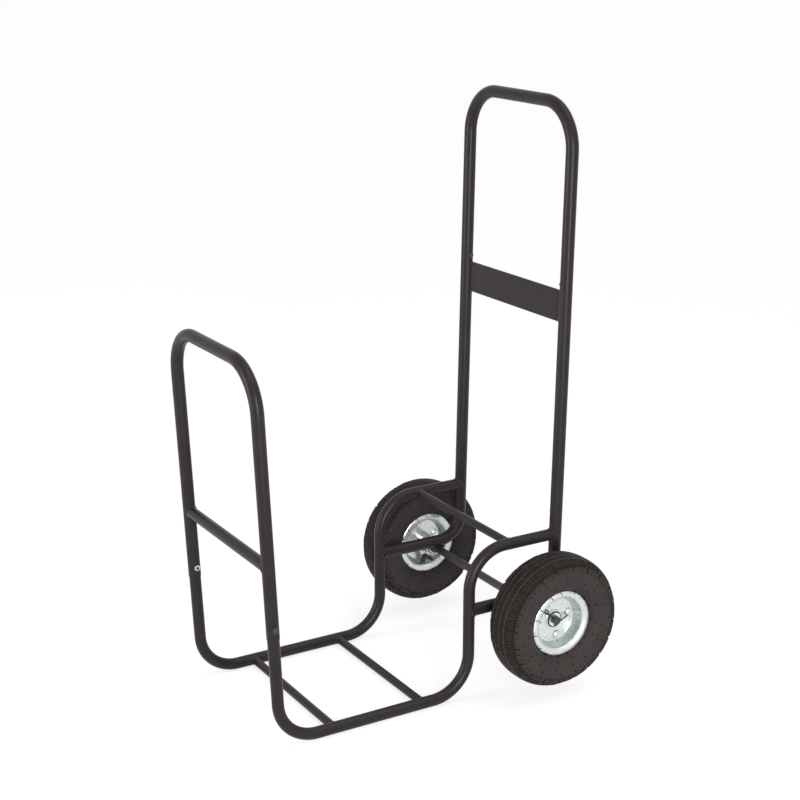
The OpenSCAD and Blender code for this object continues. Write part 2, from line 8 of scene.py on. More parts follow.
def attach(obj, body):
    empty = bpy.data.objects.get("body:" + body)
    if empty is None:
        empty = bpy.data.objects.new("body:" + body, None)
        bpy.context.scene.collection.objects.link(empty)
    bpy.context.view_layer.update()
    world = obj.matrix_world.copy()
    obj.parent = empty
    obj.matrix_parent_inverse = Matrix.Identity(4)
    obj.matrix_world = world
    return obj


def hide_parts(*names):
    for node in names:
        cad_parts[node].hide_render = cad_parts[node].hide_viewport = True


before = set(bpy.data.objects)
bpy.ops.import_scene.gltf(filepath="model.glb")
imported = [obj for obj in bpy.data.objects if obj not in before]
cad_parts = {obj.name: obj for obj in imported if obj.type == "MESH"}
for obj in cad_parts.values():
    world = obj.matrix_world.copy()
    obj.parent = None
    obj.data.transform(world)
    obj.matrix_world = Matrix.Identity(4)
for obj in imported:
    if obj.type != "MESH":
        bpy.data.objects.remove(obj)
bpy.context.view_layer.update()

bl_info = {
    "name": "Log Cart Finishes",
    "version": (1, 0, 0),
    "blender": (4, 5, 0),
    "location": "3D View > Sidebar > Log Cart",
    "description": "Dresses a packed firewood cart with its tubes, wheels and finishes",
    "category": "Object",
}

MM = 0.001
SIDES = {"left": 1, "right": -1}

# ----- The cart's construction, in millimetres and degrees, as its source gives it -----
ORIGIN_Y = 314.1156
HALF_FRAME = 167.5
RAIL_Z = 11.2
RAIL_R = 11.2
SIDE_R = 11.0
BAR_R = 8.0
MAIN_R = 12.0
TUBE_WALL = 1.2
NECK_R = 10.7
NECK_LEN = 45.0
NECK_EDGE = 0.3
JOINT_EDGE = 0.35
COPE_LEAST = 4.0
HOOP_LEAN = 2.7
HOOP_JOINT = 205.0
HOOP_LEG = 702.0
CROSSBAR_AT = 340.0
CORNER_R = 85.0
RAIL_BEND_R = 78.0
POST_Y = 401.0
SHELF_Z = 294.0
UPRIGHT_Y = 591.5
HANDLE_LEAN = 1.1
HANDLE_JOINT = 757.0
HANDLE_LEG = 1099.0
ARM_Z = 176.6
ARM_START = 5.0
FOOT_BEND_R = 50.0
BAR_PLACES = ((110, RAIL_Z), (300, RAIL_Z), (492, SHELF_Z))
PLATE_H = 60.0
BOLT_UP = 21.0
AXLE_Y = 543.5
AXLE_Z = 156.6
AXLE_R = 8.0
AXLE_HALF = 255.5
AXLE_EDGE = 1.0
WHEEL_X = 240.0


def shift(y):
    """From the frame's own Y, which starts at the front leg's foot, to the cart's."""
    return y - ORIGIN_Y


def sin(angle):
    """Sine of an angle in degrees."""
    return math.sin(math.radians(angle))


def cos(angle):
    """Cosine of an angle in degrees."""
    return math.cos(math.radians(angle))


def tan(angle):
    """Tangent of an angle in degrees."""
    return math.tan(math.radians(angle))


def turned(angle):
    """Unit vector at an angle in a drawing's plane."""
    return Vector((cos(angle), sin(angle)))


def upright_y(z):
    """Where the leaning uprights' middle is at a height."""
    return UPRIGHT_Y + (z - RAIL_Z) * tan(HANDLE_LEAN)


# ----- Sizes and colours that a user would change -----

COLOUR = {"subtype": "COLOR", "size": 3, "min": 0, "max": 1}


class FrameFinish(bpy.types.PropertyGroup):
    """Tubes, welds and paint."""
    paint: bpy.props.FloatVectorProperty(
        name="Paint", description="Colour of the powder coat",
        default=(0.020, 0.016, 0.0152), **COLOUR)
    paint_roughness: bpy.props.FloatProperty(
        name="Paint roughness", description="Roughness of the powder coat", default=0.31,
        min=0, max=1)
    grain: bpy.props.FloatProperty(
        name="Coat grain", description="Depth of the powder coat's orange peel", default=0.06,
        min=0, max=1)
    tube_segments: bpy.props.IntProperty(
        name="Tube segments", description="Faces round a tube", default=40, min=16, max=96)
    weld_size: bpy.props.FloatProperty(
        name="Weld size", description="Half width of a weld bead", default=2.1 * MM, min=0.0005,
        max=0.005, unit="LENGTH")


class TyreFinish(bpy.types.PropertyGroup):
    """Tread, sidewall and rubber."""
    rubber: bpy.props.FloatVectorProperty(
        name="Rubber", description="Colour of the tyres",
        default=(0.030, 0.0235, 0.023), **COLOUR)
    tread: bpy.props.FloatVectorProperty(
        name="Tread rubber", description="Colour of the tread, which is darker",
        default=(0.0125, 0.0085, 0.008), **COLOUR)
    # Painted highlight with scuffing: the lighter colour of the tread blocks' edges and margins.
    painted_light_and_wear: bpy.props.FloatVectorProperty(
        name="Edge highlight and scuffs", description="Colour of the tread's worn edges",
        default=(0.1, 0.082, 0.077), **COLOUR)
    # Painted shade: the darker colour of the crown's floor between the tread blocks.
    groove_shade: bpy.props.FloatVectorProperty(
        name="Groove shade", description="Colour of the dirty floor between the blocks",
        default=(0.003, 0.002, 0.0018), **COLOUR)
    pitches: bpy.props.IntProperty(
        name="Tread pitches", description="Blocks round each shoulder", default=20, min=12, max=40)
    phase: bpy.props.FloatProperty(
        name="Tread phase", description="Angle of the first gap between blocks, in degrees",
        default=11.5, min=-180, max=180)
    hairs: bpy.props.IntProperty(
        name="Vent hairs", description="Vent hairs in each ring of a sidewall", default=15, min=0,
        max=40)
    hair_length: bpy.props.FloatProperty(
        name="Hair length", description="Length of a vent hair", default=4.0 * MM, min=0.001,
        max=0.01, unit="LENGTH")


class WheelFinish(bpy.types.PropertyGroup):
    """Rims, bolts and plating."""
    zinc: bpy.props.FloatVectorProperty(
        name="Zinc", description="Colour of the plating",
        default=(0.63, 0.66, 0.655), **COLOUR)
    # Painted shade: a darker zinc on the rim's recessed barrel, between the disc and the flange.
    barrel_shade: bpy.props.FloatVectorProperty(
        name="Barrel shade", description="Colour of the duller plating inside the rim's barrel",
        default=(0.45, 0.5, 0.495), **COLOUR)
    zinc_roughness: bpy.props.FloatProperty(
        name="Zinc roughness", description="Roughness of the plating", default=0.3, min=0, max=1)
    rim_segments: bpy.props.IntProperty(
        name="Rim segments", description="Faces round a rim", default=128, min=32, max=256)
    bolt_turn: bpy.props.FloatProperty(
        name="Bolt turn", description="Turn of the rim bolts about the axle, in degrees",
        default=12.0, min=-180, max=180)


class StageLook(bpy.types.PropertyGroup):
    """Floor, lamps and background."""
    floor: bpy.props.FloatVectorProperty(
        name="Floor", description="Colour of the floor",
        default=(0.95, 0.95, 0.95), **COLOUR)
    shadow: bpy.props.FloatProperty(
        name="Shadow", description="How much of the floor's own shading the camera sees",
        default=0.35, min=0, max=1)
    key: bpy.props.FloatProperty(
        name="Key lamp", description="Power of the tall lamp beside the camera", default=95.0, min=0)
    fill: bpy.props.FloatProperty(
        name="Fill lamp", description="Power of the tall lamp at the cart's front", default=60.0,
        min=0)
    top: bpy.props.FloatProperty(
        name="Top light", description="Strength of the soft light from above", default=1.0, min=0)
    ambient: bpy.props.FloatProperty(
        name="Ambient", description="Strength of the light from all round", default=0.36,
        min=0, max=2)


# ----- Shader nodes and node groups -----

GREY = (0.5, 0.5, 0.5, 1)


def feed(tree, socket, value):
    """Links a socket to another one, or sets it to a number or colour."""
    if isinstance(value, bpy.types.NodeSocket):
        tree.links.new(value, socket)
    else:
        socket.default_value = value


def new_node(tree, kind, inputs, **settings):
    """A node with its settings, and its inputs fed by name or place."""
    node = tree.nodes.new(kind)
    for name, value in settings.items():
        setattr(node, name, value)
    for label, value in inputs.items():
        feed(tree, node.inputs[label], value)
    return node


def noise(tree, scale, detail, roughness=0.55):
    """A noise texture on Object coordinates."""
    where = tree.nodes.new("ShaderNodeTexCoord").outputs["Object"]
    return new_node(tree, "ShaderNodeTexNoise", {
        "Vector": where, "Scale": scale, "Detail": detail, "Roughness": roughness}).outputs["Fac"]


def math_node(tree, kind, a, b, clamp=False):
    """A math node on two values, each a socket or a number."""
    return new_node(tree, "ShaderNodeMath", {0: a, 1: b}, operation=kind, use_clamp=clamp).outputs[0]


def spread(tree, value, low, high, to_low, to_high):
    """A value mapped from one range to another, clamped."""
    return new_node(tree, "ShaderNodeMapRange", {
        "Value": value, "From Min": low, "From Max": high, "To Min": to_low,
        "To Max": to_high}).outputs["Result"]


def tinted(tree, factor, a, b):
    """A mix of two colours."""
    node = new_node(tree, "ShaderNodeMix", {"Factor": factor}, data_type="RGBA")
    for socket, colour in zip([s for s in node.inputs if s.type == "RGBA"], (a, b)):
        tree.links.new(colour, socket)
    return next(s for s in node.outputs if s.type == "RGBA")


def new_group(name, inputs, outputs):
    """A shader node group with the defaults of its inputs, in which a tuple is a colour. Returns it
    with the sockets that its inputs arrive at and its outputs leave by."""
    group = bpy.data.node_groups.new(name, "ShaderNodeTree")
    for label, value in inputs.items():
        kind = "NodeSocketColor" if isinstance(value, tuple) else "NodeSocketFloat"
        socket = group.interface.new_socket(name=label, in_out="INPUT", socket_type=kind)
        socket.default_value = value
    for label in outputs:
        kind = "NodeSocketColor" if label == "Colour" else "NodeSocketFloat"
        group.interface.new_socket(name=label, in_out="OUTPUT", socket_type=kind)
    return (group, group.nodes.new("NodeGroupInput").outputs,
            group.nodes.new("NodeGroupOutput").inputs)


def surface_group():
    """Grain and blotches: the colour, roughness and height of a surface."""
    group, given, out = new_group(
        "surface_grain",
        {"Colour": GREY, "Grain Scale": 900.0, "Blotch Scale": 14.0, "Variation": 0.2,
         "Roughness": 0.5, "Roughness Spread": 0.1}, ("Colour", "Roughness", "Height"))
    fine = noise(group, given["Grain Scale"], 2.0)
    broad = noise(group, given["Blotch Scale"], 4.0, 0.6)
    both = math_node(group, "ADD", math_node(group, "MULTIPLY", fine, 0.4),
                     math_node(group, "MULTIPLY", broad, 0.6))
    swing = spread(group, both, 0.3, 0.7, -1.0, 1.0)
    level = math_node(group, "ADD", math_node(group, "MULTIPLY", swing, given["Variation"]), 1.0)
    shade = new_node(group, "ShaderNodeVectorMath", {0: given["Colour"], "Scale": level},
                     operation="SCALE")
    rough = math_node(group, "ADD", given["Roughness"],
                      math_node(group, "MULTIPLY", swing, given["Roughness Spread"]), True)
    for label, value in (("Colour", shade.outputs[0]), ("Roughness", rough), ("Height", fine)):
        feed(group, out[label], value)


def cover_group(name, scale, detail, roughness, limits):
    """A second colour over the first where the amount is high, broken up by noise."""
    group, given, out = new_group(
        name, {"Colour": GREY, "Cover": GREY, "Amount": 0.0, "Scale": scale}, ("Colour",))
    broken = spread(group, noise(group, given["Scale"], detail, roughness), *limits)
    mask = math_node(group, "MULTIPLY", broken, given["Amount"], True)
    feed(group, out["Colour"], tinted(group, mask, given["Colour"], given["Cover"]))


# ----- Finishes -----

# Colour, grain scale, blotch scale, variation, roughness, its spread, metallic, bump and specular
PLAIN_FINISHES = {
    "bright_zinc": ((0.72, 0.74, 0.74), 700.0, 60.0, 0.08, 0.26, 0.08, 0.95, 0.05, 0.5),
    # This dark zinc is only for the rings that paint the shade round the rim bolts' heads.
    "painted_shade_zinc": ((0.11, 0.105, 0.1), 700.0, 60.0, 0.2, 0.34, 0.08, 0.9, 0.1, 0.5),
    "drawn_steel": ((0.05, 0.048, 0.047), 700.0, 40.0, 0.2, 0.48, 0.1, 0.5, 0.1, 0.5),
    "ground_steel": ((0.5, 0.5, 0.51), 900.0, 50.0, 0.1, 0.25, 0.08, 0.95, 0.05, 0.5),
    "black_oxide": ((0.035, 0.033, 0.032), 900.0, 40.0, 0.15, 0.38, 0.1, 0.4, 0.1, 0.5),
    "hair_rubber": ((0.003, 0.003, 0.003), 900.0, 30.0, 0.1, 0.6, 0.05, 0.0, 0.1, 0.1),
    "inner_rubber": ((0.03, 0.029, 0.028), 800.0, 30.0, 0.15, 0.55, 0.08, 0.0, 0.15, 0.5),
    # Black rubber of the bearing seals, also used for the painted shade of the drain hole.
    "seal_rubber_and_hole_shade": ((0.006, 0.006, 0.006), 800.0, 60.0, 0.15, 0.5, 0.08, 0.0, 0.1, 0.2),
}

# Which finish each CAD node takes, where the node itself stays in view; {} is a side
NODE_FINISH = {
    "powder_coat": ["hoop_crossbar", "back_plate", "floor_bar_front", "floor_bar_rear", "shelf_bar"],
    "drawn_steel": ["axle_stop_rings"],
    "bright_zinc": ["axle_washers_inner", "axle_washers_outer", "hoop_nuts", "rim_nuts_{}"],
    "ground_steel": ["bearing_inner_rings", "bearing_outer_rings_{}", "bearing_balls_{}"],
    "black_oxide": ["handle_screws"],
    "rim_plating": ["hub_{}"],
    "inner_rubber": ["inner_tube_{}", "valve_stem_{}"],
}


def finish(name, colour, grain_scale, blotch_scale, variation, roughness, roughness_spread,
           metallic=0.0, bump=0.25, specular=0.5, bump_distance=0.0002, dust=None, painted_light_and_wear=None):
    """A material from the shared groups, with its own values. dust is a colour and its amount, and
    painted_light_and_wear is the colour where the piece's own painted_light_and_wear_amount attribute
    is high: painted shade on a rim's barrel and between a tyre's blocks, painted highlight with
    scuffing on the tread's edges."""
    material = bpy.data.materials.new(name)
    material.use_nodes = True
    tree = material.node_tree
    grain = new_node(tree, "ShaderNodeGroup", {
        "Colour": (*colour, 1), "Grain Scale": grain_scale, "Blotch Scale": blotch_scale,
        "Variation": variation, "Roughness": roughness, "Roughness Spread": roughness_spread,
    }, node_tree=bpy.data.node_groups["surface_grain"]).outputs
    covers = [("dust", *dust)] if dust else []
    if painted_light_and_wear:
        painted_light_and_wear_amount = new_node(tree, "ShaderNodeAttribute", {}, attribute_name="painted_light_and_wear_amount")
        covers.append(("painted_light_and_wear_cover", painted_light_and_wear, painted_light_and_wear_amount.outputs["Fac"]))
    skin = grain["Colour"]
    for group, cover, amount in covers:
        skin = new_node(tree, "ShaderNodeGroup", {
            "Colour": skin, "Cover": (*cover, 1), "Amount": amount,
        }, node_tree=bpy.data.node_groups[group]).outputs["Colour"]
    relief = new_node(tree, "ShaderNodeBump", {
        "Strength": bump, "Distance": bump_distance, "Height": grain["Height"]})
    shader = tree.nodes["Principled BSDF"]
    for label, value in (("Base Color", skin), ("Roughness", grain["Roughness"]),
                         ("Normal", relief.outputs["Normal"]), ("Metallic", metallic),
                         ("Specular IOR Level", specular)):
        feed(tree, shader.inputs[label], value)


class LOGCART_OT_finishes(bpy.types.Operator):
    """Make the materials and give them to the construction's own pieces"""
    bl_idname = "logcart.finishes"
    bl_label = "Finishes"

    def execute(self, context):
        surface_group()
        cover_group("dust", 30.0, 6.0, 0.65, (0.42, 0.72, 0.0, 1.0))
        # Mixes in painted shade on the rim's barrel and between the tyre's blocks, and painted
        # highlight with scuffing on the tread's edges.
        cover_group("painted_light_and_wear_cover", 200.0, 3.0, 0.55, (0.3, 0.6, 0.35, 1.0))
        scene = context.scene
        coat, wheel, tyre = scene.logcart_frame, scene.logcart_wheel, scene.logcart_tyre
        finish("powder_coat", coat.paint, 1500.0, 9.0, 0.10, coat.paint_roughness, 0.05,
               bump=coat.grain, bump_distance=0.0003, specular=0.14, dust=((0.08, 0.07, 0.065), 0.05))
        finish("weld_paint", coat.paint, 900.0, 40.0, 0.12, coat.paint_roughness + 0.05, 0.06,
               bump_distance=0.0003, specular=0.25)
        # By their marks, the rim's barrel and the floor between the tyre's blocks get painted shade,
        # and the tread's edges a painted highlight with scuffing.
        finish("rim_plating", wheel.zinc, 420.0, 22.0, 0.06, wheel.zinc_roughness, 0.07,
               metallic=0.8, bump=0.05, painted_light_and_wear=wheel.barrel_shade)
        finish("carcass_rubber", tyre.rubber, 1100.0, 16.0, 0.14, 0.6, 0.08, bump_distance=0.0003,
               specular=0.16, dust=((0.06, 0.05, 0.048), 0.2), painted_light_and_wear=tyre.groove_shade)
        finish("tread_rubber", tyre.tread, 1100.0, 20.0, 0.2, 0.62, 0.08, bump_distance=0.0003,
               specular=0.1, dust=((0.04, 0.032, 0.029), 0.2), painted_light_and_wear=tyre.painted_light_and_wear)
        for name, values in PLAIN_FINISHES.items():
            finish(name, *values)
        for name, nodes in NODE_FINISH.items():
            for node in {node.format(side) for node in nodes for side in SIDES}:
                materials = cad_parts[node].data.materials
                materials.clear()
                materials.append(bpy.data.materials[name])
        return {"FINISHED"}


# ----- Making pieces -----

MERGE = 0.0005


def baked(name, bm):
    """A mesh with the contents of a bmesh, which is freed."""
    mesh = bpy.data.meshes.new(name)
    bm.to_mesh(mesh)
    bm.free()
    return mesh


def linked(name, data):
    """A new object in the scene."""
    obj = bpy.data.objects.new(name, data)
    bpy.context.scene.collection.objects.link(obj)
    return obj


def piece(name, bm, material, body, replaces=(), sharp=32.0):
    """Finishes a mesh in millimetres as a piece of the cart that rides on a body."""
    bmesh.ops.remove_doubles(bm, verts=bm.verts, dist=MERGE)
    bmesh.ops.recalc_face_normals(bm, faces=bm.faces)
    bmesh.ops.scale(bm, vec=(MM, MM, MM), verts=bm.verts)
    mesh = baked(name, bm)
    mesh.shade_smooth()
    mesh.set_sharp_from_angle(angle=math.radians(sharp))
    obj = linked(name, mesh)
    mesh.materials.append(bpy.data.materials[material])
    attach(obj, body)
    if replaces:
        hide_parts(*replaces)


def wheel_place(sign):
    """From a wheel's own frame, x outboard, to the cart's."""
    mirror = Matrix.Scale(sign, 4, (1, 0, 0))
    middle = Matrix.Translation((0, shift(AXLE_Y), AXLE_Z))
    return middle @ mirror @ Matrix.Translation((WHEEL_X, 0, 0))


def around(radius, angle, x=0.0):
    """Matrix to a place on a wheel's face at a radius and an angle from the rear towards up."""
    return Matrix.Rotation(math.radians(angle), 4, "X") @ Matrix.Translation((x, radius, 0))


def wheel_piece(name, bm, side, material, node=None, sharp=32.0):
    """Finishes a mesh in a wheel's own frame as a piece of the wheel on a side."""
    bmesh.ops.transform(bm, matrix=wheel_place(SIDES[side]), verts=bm.verts)
    piece(f"{name}_{side}", bm, material, f"wheel_{side}",
          [f"{node}_{side}"] if node else (), sharp)


def turn_to(direction):
    """The turn that brings Z to a direction."""
    return direction.to_track_quat("Z", "Y").to_matrix().to_4x4()


def open_ring(bm, centre, direction, radius, segments):
    """A circle of edges round a point, square to a direction."""
    aim = Matrix.Translation(centre) @ turn_to(direction)
    made = bmesh.ops.create_circle(bm, cap_ends=False, segments=segments, radius=radius, matrix=aim)
    return list({e for v in made["verts"] for e in v.link_edges})


def middle_of(verts):
    """The mean place of some vertices."""
    return sum((v.co for v in verts), Vector()) / len(verts)


def extruded(bm, edges):
    """The vertices and edges that come from extruding a ring of edges."""
    made = bmesh.ops.extrude_edge_only(bm, edges=edges)["geom"]
    verts = [g for g in made if isinstance(g, bmesh.types.BMVert)]
    return verts, [g for g in made if isinstance(g, bmesh.types.BMEdge)
                   and all(v in verts for v in g.verts)]


def grown(bm, edges, move, factor=1.0):
    """Extrudes a ring of edges, moved and scaled about its own centre."""
    verts, ring = extruded(bm, edges)
    bmesh.ops.translate(bm, vec=move, verts=verts)
    if factor != 1.0:
        bmesh.ops.scale(bm, vec=(factor,) * 3, space=Matrix.Translation(-middle_of(verts)),
                        verts=verts)
    return ring


def lathe(bm, profile, steps, closed=False):
    """Spins a profile of (distance along X, radius) about the X axis through the origin."""
    verts = [bm.verts.new((x, r, 0)) for x, r in profile]
    edges = [bm.edges.new(pair) for pair in zip(verts, verts[1:] + (verts[:1] if closed else []))]
    bmesh.ops.spin(bm, geom=verts + edges, cent=(0, 0, 0), axis=(1, 0, 0), angle=math.tau,
                   steps=steps, use_merge=True)
    bmesh.ops.remove_doubles(bm, verts=bm.verts, dist=MERGE)


def turned_part(profile, steps, closed=False):
    """A new mesh with one spun profile."""
    bm = bmesh.new()
    lathe(bm, profile, steps, closed)
    return bm


def at_places(source, places):
    """Copies of a mesh, one for each matrix, in one mesh."""
    bm, mesh = bmesh.new(), baked("copied", source)
    for place in places:
        before = set(bm.verts)
        bm.from_mesh(mesh)
        bmesh.ops.transform(bm, matrix=place, verts=list(set(bm.verts) - before))
    bpy.data.meshes.remove(mesh)
    return bm


def mark_painted_shade(bm, painted_light_and_wear):
    """Marks painted shade with a painted_light_and_wear_amount attribute, 1 where a test on the place
    holds and 0 elsewhere.
    """
    layer = bm.verts.layers.float.new("painted_light_and_wear_amount")
    for v in bm.verts:
        v[layer] = 1.0 if painted_light_and_wear(v.co) else 0.0


# ----- Bent tubes -----

BEND_STEP = 3.75


class Plane:
    """A drawing's plane in space: its origin, and the directions of its x and y."""

    def __init__(self, origin, along, up):
        self.origin, self.along, self.up = Vector(origin), Vector(along), Vector(up)
        self.out = self.along.cross(self.up)

    def point(self, flat):
        """Where a spot of the drawing is in space."""
        return self.origin + self.along * flat[0] + self.up * flat[1]

    def heading(self, angle):
        """The direction in space at an angle of the drawing."""
        flat = turned(angle)
        return self.along * flat[0] + self.up * flat[1]


def leaning_plane(y, lean):
    """The hoop's or handle's plane: x runs across and y runs up along the legs."""
    return Plane((0, shift(y), RAIL_Z), (1, 0, 0), (0, *turned(90 - lean)))


HOOP = leaning_plane(0, -HOOP_LEAN)
HANDLE = leaning_plane(UPRIGHT_Y, HANDLE_LEAN)


def bent_skin(bm, plane, start, heading, steps, bend_r, radius, edge):
    """A skin along straight lengths and bends, (length, turn), whose last turn is 0. Returns its
    first and last rings. With an edge, both ends are chamfered by it."""
    segments = bpy.context.scene.logcart_frame.tube_segments
    first = ring = open_ring(bm, plane.point(start), plane.heading(heading), radius - edge, segments)
    if edge:
        ring = grown(bm, ring, plane.heading(heading) * edge, radius / (radius - edge))
    at, angle, done = Vector(start), heading, edge
    for length, turn in steps:
        ring = grown(bm, ring, plane.heading(angle) * (length - done - (0 if turn else edge)))
        at = at + turned(angle) * length
        done = 0.0
        if turn:
            side = math.copysign(90, turn)
            centre = at + turned(angle + side) * bend_r
            verts = list({v for e in ring for v in e.verts})
            made = bmesh.ops.spin(
                bm, geom=ring + verts, cent=plane.point(centre), axis=plane.out,
                angle=math.radians(turn), steps=max(6, round(abs(turn) / BEND_STEP)))
            ring = [g for g in made["geom_last"] if isinstance(g, bmesh.types.BMEdge)]
            angle += turn
            at = centre + turned(angle - side) * bend_r
    if edge:
        ring = grown(bm, ring, plane.heading(angle) * edge, (radius - edge) / radius)
    return first, ring


def bent_tube(name, node, plane, start, heading, steps, bend_r, radius, edge=0.0, neck_end=None,
              cope=None):
    """A closed bent tube with its wall. One end may have a neck that slips into the next tube, and
    the far end may be coped: (radius of the tube that it meets, least reach onto it)."""
    bm = bmesh.new()
    walls = (0.0, TUBE_WALL)
    skins = [bent_skin(bm, plane, start, heading, steps, bend_r, radius - wall, 0.0 if wall else edge)
             for wall in walls]
    last = plane.heading(heading + sum(turn for _, turn in steps))
    for end, away in enumerate((plane.heading(heading) * -1, last)):
        loops = [skin[end] for skin in skins]
        if cope and end == 1:
            cope_end(loops[0] + loops[1], plane, away, *cope)
        if end == neck_end:
            for i, wall in enumerate(walls):
                shoulder = grown(bm, loops[i], away * NECK_EDGE, (NECK_R - wall) / (radius - wall))
                loops[i] = grown(bm, shoulder, away * NECK_LEN)
        bmesh.ops.bridge_loops(bm, edges=loops[0] + loops[1])
    piece(name, bm, "powder_coat", "frame", [node])


def cope_end(edges, plane, way, mate_r, least):
    """Cuts a tube's end to the round of the tube that it meets, whose axis lies in the plane."""
    verts = {v for e in edges for v in e.verts}
    middle = middle_of(verts)
    for v in verts:
        aside = (v.co - middle).dot(plane.out)
        reach = math.sqrt(max(mate_r ** 2 - aside ** 2, 0.0))
        v.co += way * (mate_r - max(reach, least))


class LOGCART_OT_bent_tubes(bpy.types.Operator):
    """Make the hoop, side frames, uprights and handle as smooth bent tubes with their walls"""
    bl_idname = "logcart.bent_tubes"
    bl_label = "Bent tubes"

    def execute(self, context):
        front_turn, foot_turn = 90 - HOOP_LEAN, 90 - HANDLE_LEAN
        rail_cut = RAIL_BEND_R * tan(front_turn / 2)
        foot_cut = FOOT_BEND_R * tan(foot_turn / 2)
        stub = turned(90 + HOOP_LEAN) * HOOP_JOINT + Vector((0, RAIL_Z))
        side_steps = [
            (HOOP_JOINT - rail_cut, front_turn), (POST_Y - RAIL_BEND_R - rail_cut, 90),
            (SHELF_Z - RAIL_Z - 2 * RAIL_BEND_R, -90),
            (upright_y(SHELF_Z) - MAIN_R - POST_Y - RAIL_BEND_R, 0)]
        arm = (POST_Y + ARM_START, ARM_Z)
        arm_up = (ARM_Z - RAIL_Z) / cos(HANDLE_LEAN)
        upright_steps = [(upright_y(ARM_Z) - arm[0] - foot_cut, foot_turn),
                         (HANDLE_JOINT - arm_up - foot_cut, 0)]
        for side, sign in SIDES.items():
            plane = Plane((sign * HALF_FRAME, shift(0), 0), (0, 1, 0), (0, 0, 1))
            bent_tube(f"side_frame_tube_{side}", f"side_frame_{side}", plane, stub, HOOP_LEAN - 90,
                      side_steps, RAIL_BEND_R, RAIL_R, neck_end=0, cope=(MAIN_R, COPE_LEAST))
            bent_tube(f"upright_tube_{side}", f"rear_upright_{side}", plane, arm, 0, upright_steps,
                      FOOT_BEND_R, MAIN_R, neck_end=1)
        for name, node, plane, joint, leg in (
                ("hoop_tube", "front_hoop", HOOP, HOOP_JOINT, HOOP_LEG),
                ("handle_tube", "push_handle", HANDLE, HANDLE_JOINT, HANDLE_LEG)):
            rise = leg - joint - CORNER_R
            steps = [(rise, -90), (2 * (HALF_FRAME - CORNER_R), -90), (rise, 0)]
            bent_tube(name, node, plane, (-HALF_FRAME, joint), 90, steps, CORNER_R, MAIN_R,
                      JOINT_EDGE)
        return {"FINISHED"}


# ----- Welds -----

BEAD_FACES = 7
RIPPLE = 0.13
WAVER = 0.10
RIPPLE_STEPS = 4


def weld_bead(bm, centre, direction, radius, mate_r, mate_axis, size, ripples=34):
    """A rippled bead round a tube where it meets a round mate, of which only the near face counts."""
    centre, direction, mate_axis = Vector(centre), Vector(direction), Vector(mate_axis)
    lateral = direction.cross(mate_axis)
    before = set(bm.verts)
    aim = Matrix.Translation(centre + mate_axis * radius) @ Matrix(
        (mate_axis, direction, lateral)).transposed().to_4x4()
    made = bmesh.ops.create_circle(bm, cap_ends=False, segments=BEAD_FACES, radius=size, matrix=aim)
    ring = made["verts"] + list({e for v in made["verts"] for e in v.link_edges})
    bmesh.ops.spin(bm, geom=ring, cent=centre, axis=direction, angle=math.tau,
                   steps=ripples * RIPPLE_STEPS, use_merge=True)
    for v in set(bm.verts) - before:
        off = v.co - centre
        flat = off - direction * off.dot(direction)
        turn = math.atan2(flat.dot(lateral), flat.dot(mate_axis))
        ridge = flat.normalized() * radius
        drop = mate_r - math.sqrt(max(mate_r ** 2 - ridge.dot(lateral) ** 2, 0.0))
        swell = 1.0 + RIPPLE * math.sin(turn * ripples) + WAVER * math.sin(turn * 3 + radius)
        v.co = centre + ridge + (off - ridge) * swell + direction * drop


def weld_line(bm, start, end, size, ripples):
    """A straight rippled bead."""
    start, end = Vector(start), Vector(end)
    ring = open_ring(bm, start, end - start, size, BEAD_FACES)
    bmesh.ops.edgeloop_fill(bm, edges=ring)
    count = ripples * RIPPLE_STEPS
    widths = [1.0 + RIPPLE * math.sin(i * math.tau / RIPPLE_STEPS) for i in range(count + 1)]
    for before, here in zip(widths, widths[1:]):
        ring = grown(bm, ring, (end - start) / count, here / before)
    bmesh.ops.edgeloop_fill(bm, edges=ring)


class LOGCART_OT_welds(bpy.types.Operator):
    """Make the weld beads where the frame's tubes, bars, plate and axle meet"""
    bl_idname = "logcart.welds"
    bl_label = "Welds"

    def execute(self, context):
        size = context.scene.logcart_frame.weld_size / MM
        back, up = (0, 1, 0), (0, 0, 1)
        for side, sign in SIDES.items():
            bm = bmesh.new()
            outward = (sign, 0, 0)
            middle, inner = sign * HALF_FRAME, sign * (HALF_FRAME - SIDE_R)
            weld_bead(bm, HOOP.point((sign * (HALF_FRAME - MAIN_R), CROSSBAR_AT)), outward, SIDE_R,
                      MAIN_R, HOOP.up, size)
            for y, z in BAR_PLACES:
                weld_bead(bm, (inner, shift(y), z), outward, BAR_R, SIDE_R, back, size * 0.8, 26)
            shelf = (middle, shift(upright_y(SHELF_Z) - MAIN_R), SHELF_Z)
            weld_bead(bm, shelf, back, RAIL_R, MAIN_R, HANDLE.up, size)
            arm = (middle, shift(POST_Y + SIDE_R), ARM_Z)
            weld_bead(bm, arm, (0, -1, 0), MAIN_R - 0.4, SIDE_R, up, size)
            plate_x = sign * (HALF_FRAME - MAIN_R + 0.4)
            plate = [HANDLE.point((plate_x, HANDLE_JOINT + rise)) for rise in (1.0 - PLATE_H, -1.5)]
            axle = [Vector((sign * (HALF_FRAME + x), shift(AXLE_Y), AXLE_Z + 8.4)) for x in (-10, 10)]
            for face in (-1, 1):
                weld_line(bm, *(spot + HANDLE.out * (face * 2.3) for spot in plate), size * 0.62, 16)
                weld_line(bm, *(spot + Vector((0, face * 5.6, 0)) for spot in axle), size * 0.95, 8)
            piece(f"weld_beads_{side}", bm, "weld_paint", "frame", sharp=60)
        return {"FINISHED"}


# ----- Axle, bolts and pins -----

PIN_WIRE_R = 1.35
PIN_TURN = 46
PIN_AT = 8.6
PIN_HALF = 0.75


